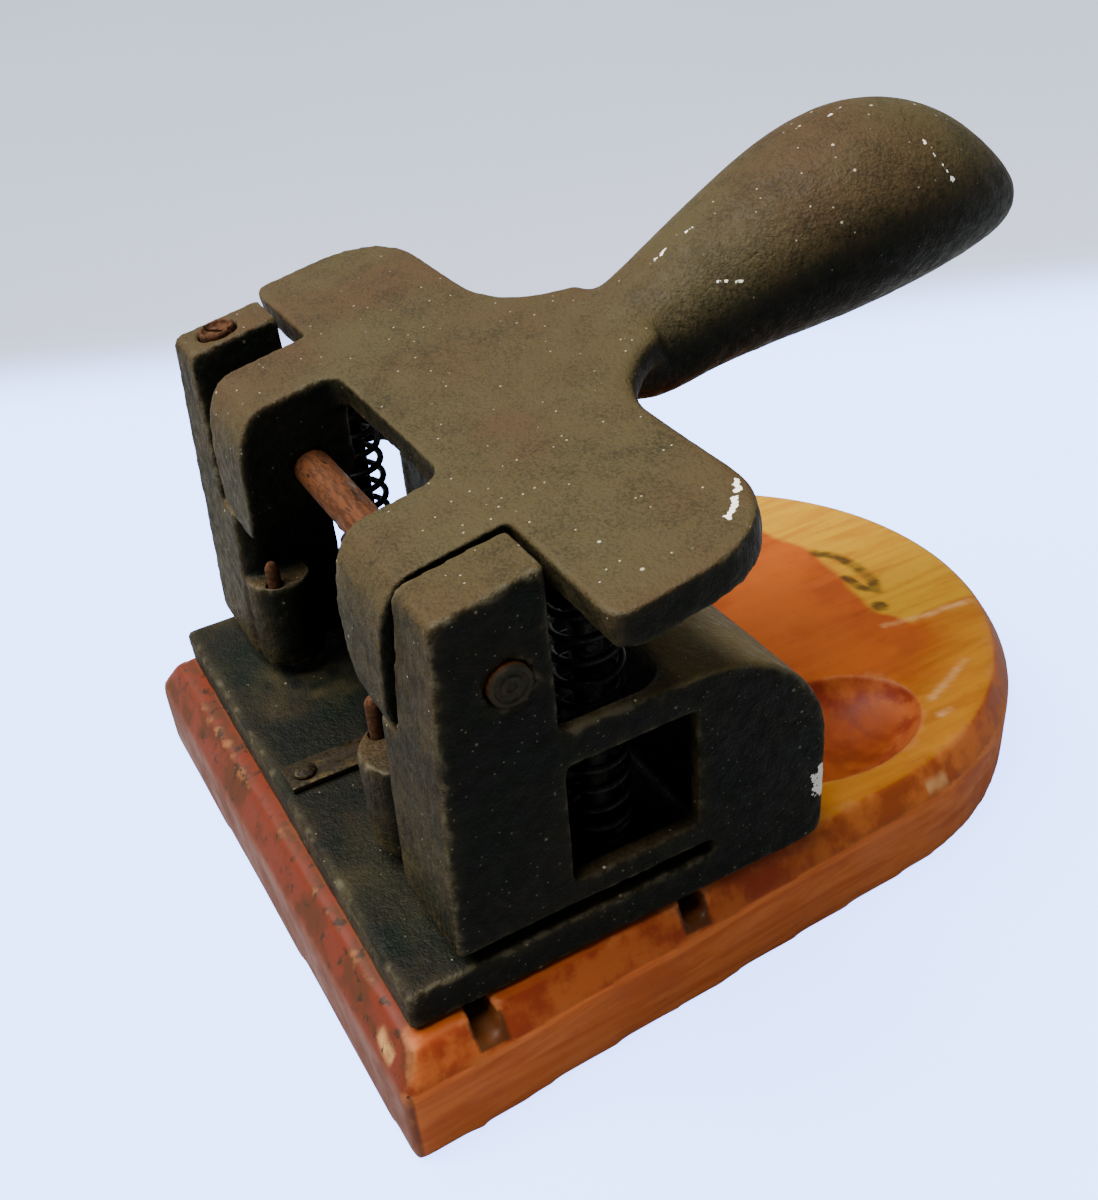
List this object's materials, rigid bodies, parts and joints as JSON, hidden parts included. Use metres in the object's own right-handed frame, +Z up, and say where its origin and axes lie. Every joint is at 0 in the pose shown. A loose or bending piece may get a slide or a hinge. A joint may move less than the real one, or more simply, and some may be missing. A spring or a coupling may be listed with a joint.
{
  "type": "bench lever punch",
  "caption": "Cast-iron bench lever punch on a round-ended wooden board, with a forked hand lever, a thin throat slot and sprung punches.",
  "frame": {"origin": "middle of the wooden board's flat underside, on the plane the object stands on", "axes": "+Z up; +Y from the board's straight front edge to the lever's handle; +X to the right, along the pivot shaft"},
  "size_m": [0.1593, 0.1927, 0.1476],
  "materials": {
    "cast_iron_frame": "rough black casting with worn grey-green paint and pale specks",
    "cast_iron_lever": "olive-brown painted casting, smooth from use, with pale specks",
    "board_wood": "varnished wood, amber top with a pale sapwood band and redder worn edges",
    "shaft_metal": "steel shaft with a copper-brown rust bloom",
    "rusty_screw": "rusted steel",
    "punch_steel": "darkened steel with oil film",
    "spring_steel": "darkened spring wire",
    "die_steel": "hardened steel, darkened",
    "strip_brass": "dull brown brass",
    "screw_steel": "darkened steel screws"
  },
  "bodies": {
    "frame": {"base_board": "board_wood", "press_frame": "cast_iron_frame", "pivot_shaft": "shaft_metal", "shaft_set_screw": "rusty_screw", "spring_seat_left": "punch_steel", "spring_seat_right": "punch_steel", "punch_spring_left": "spring_steel", "punch_spring_right": "spring_steel", "die_bush_left": "die_steel", "die_bush_right": "die_steel", "locating_pin_left": "rusty_screw", "locating_pin_right": "rusty_screw", "gauge_strip": "strip_brass", "gauge_screw": "strip_brass", "frame_screw_1": "screw_steel", "frame_screw_2": "screw_steel", "frame_screw_3": "screw_steel", "frame_screw_4": "screw_steel"},
    "lever": {"lever": "cast_iron_lever"},
    "punch_left": {"punch_left": "punch_steel", "punch_head_left": "punch_steel"},
    "punch_right": {"punch_right": "punch_steel", "punch_head_right": "punch_steel"}
  },
  "joints": [
    {"name": "lever_hinge", "type": "hinge", "parent": "frame", "child": "lever", "pos_m": [0.0062, -0.0611, 0.0926], "axis": [-1, 0, 0], "range_deg": [0, 17], "stiffness_Nm_per_rad": 2.6, "springref_deg": -28.65},
    {"name": "punch_left_slide", "type": "slide", "parent": "frame", "child": "punch_left", "axis": [0, 0, -1], "range_m": [0, 0.0061], "deforming": ["punch_spring_left"]},
    {"name": "punch_right_slide", "type": "slide", "parent": "frame", "child": "punch_right", "axis": [0, 0, -1], "range_m": [0, 0.0061], "deforming": ["punch_spring_right"]}
  ],
  "couplings": [
    {"joint": "punch_left_slide", "follows": "lever_hinge", "m_per_rad": 0.0202},
    {"joint": "punch_right_slide", "follows": "lever_hinge", "m_per_rad": 0.0202}
  ]
}
